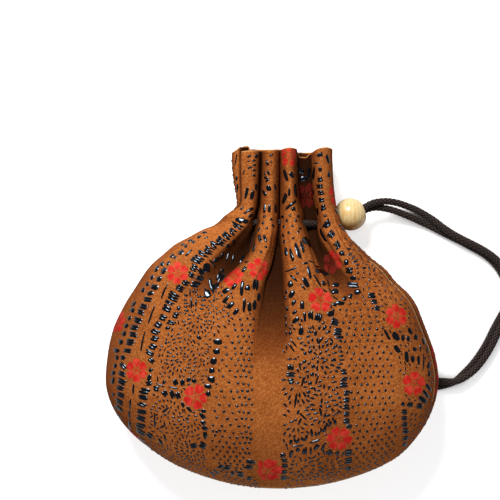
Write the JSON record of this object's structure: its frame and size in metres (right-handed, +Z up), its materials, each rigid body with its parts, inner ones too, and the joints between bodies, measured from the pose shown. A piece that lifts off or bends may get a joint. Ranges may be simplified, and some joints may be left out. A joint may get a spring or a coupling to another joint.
{
  "type": "drawstring pouch",
  "caption": "Round-bellied leather pouch with a pleated neck, closed by a cord laced through the pleats and held by a sliding wooden bead.",
  "frame": {"origin": "middle of the pouch's own footprint, on the surface that it lies on", "axes": "+Z up, away from the surface that the pouch lies on; +Y from the base to the mouth; +X towards the side that the cord leaves from"},
  "size_m": [0.1775, 0.147, 0.0445],
  "materials": {
    "leather": "tan suede-like leather with raised black lacquer dashes and red flowers",
    "lining": "brown woven cloth",
    "cord": "dark brown round braid",
    "bead": "pale varnished wood"
  },
  "bodies": {
    "pouch": {"front_panel": "leather", "back_panel": "leather", "front_lining": "lining", "back_lining": "lining", "neck_cord": "cord", "cord_strand_a": "cord", "cord_strand_b": "cord", "end_knot": "cord"},
    "bead": {"cord_bead": "bead"}
  },
  "joints": [
    {"name": "bead_slide", "type": "slide", "parent": "pouch", "child": "bead", "axis": [0.9163, 0.3609, -0.1736], "range_m": [0, 0.005]}
  ]
}
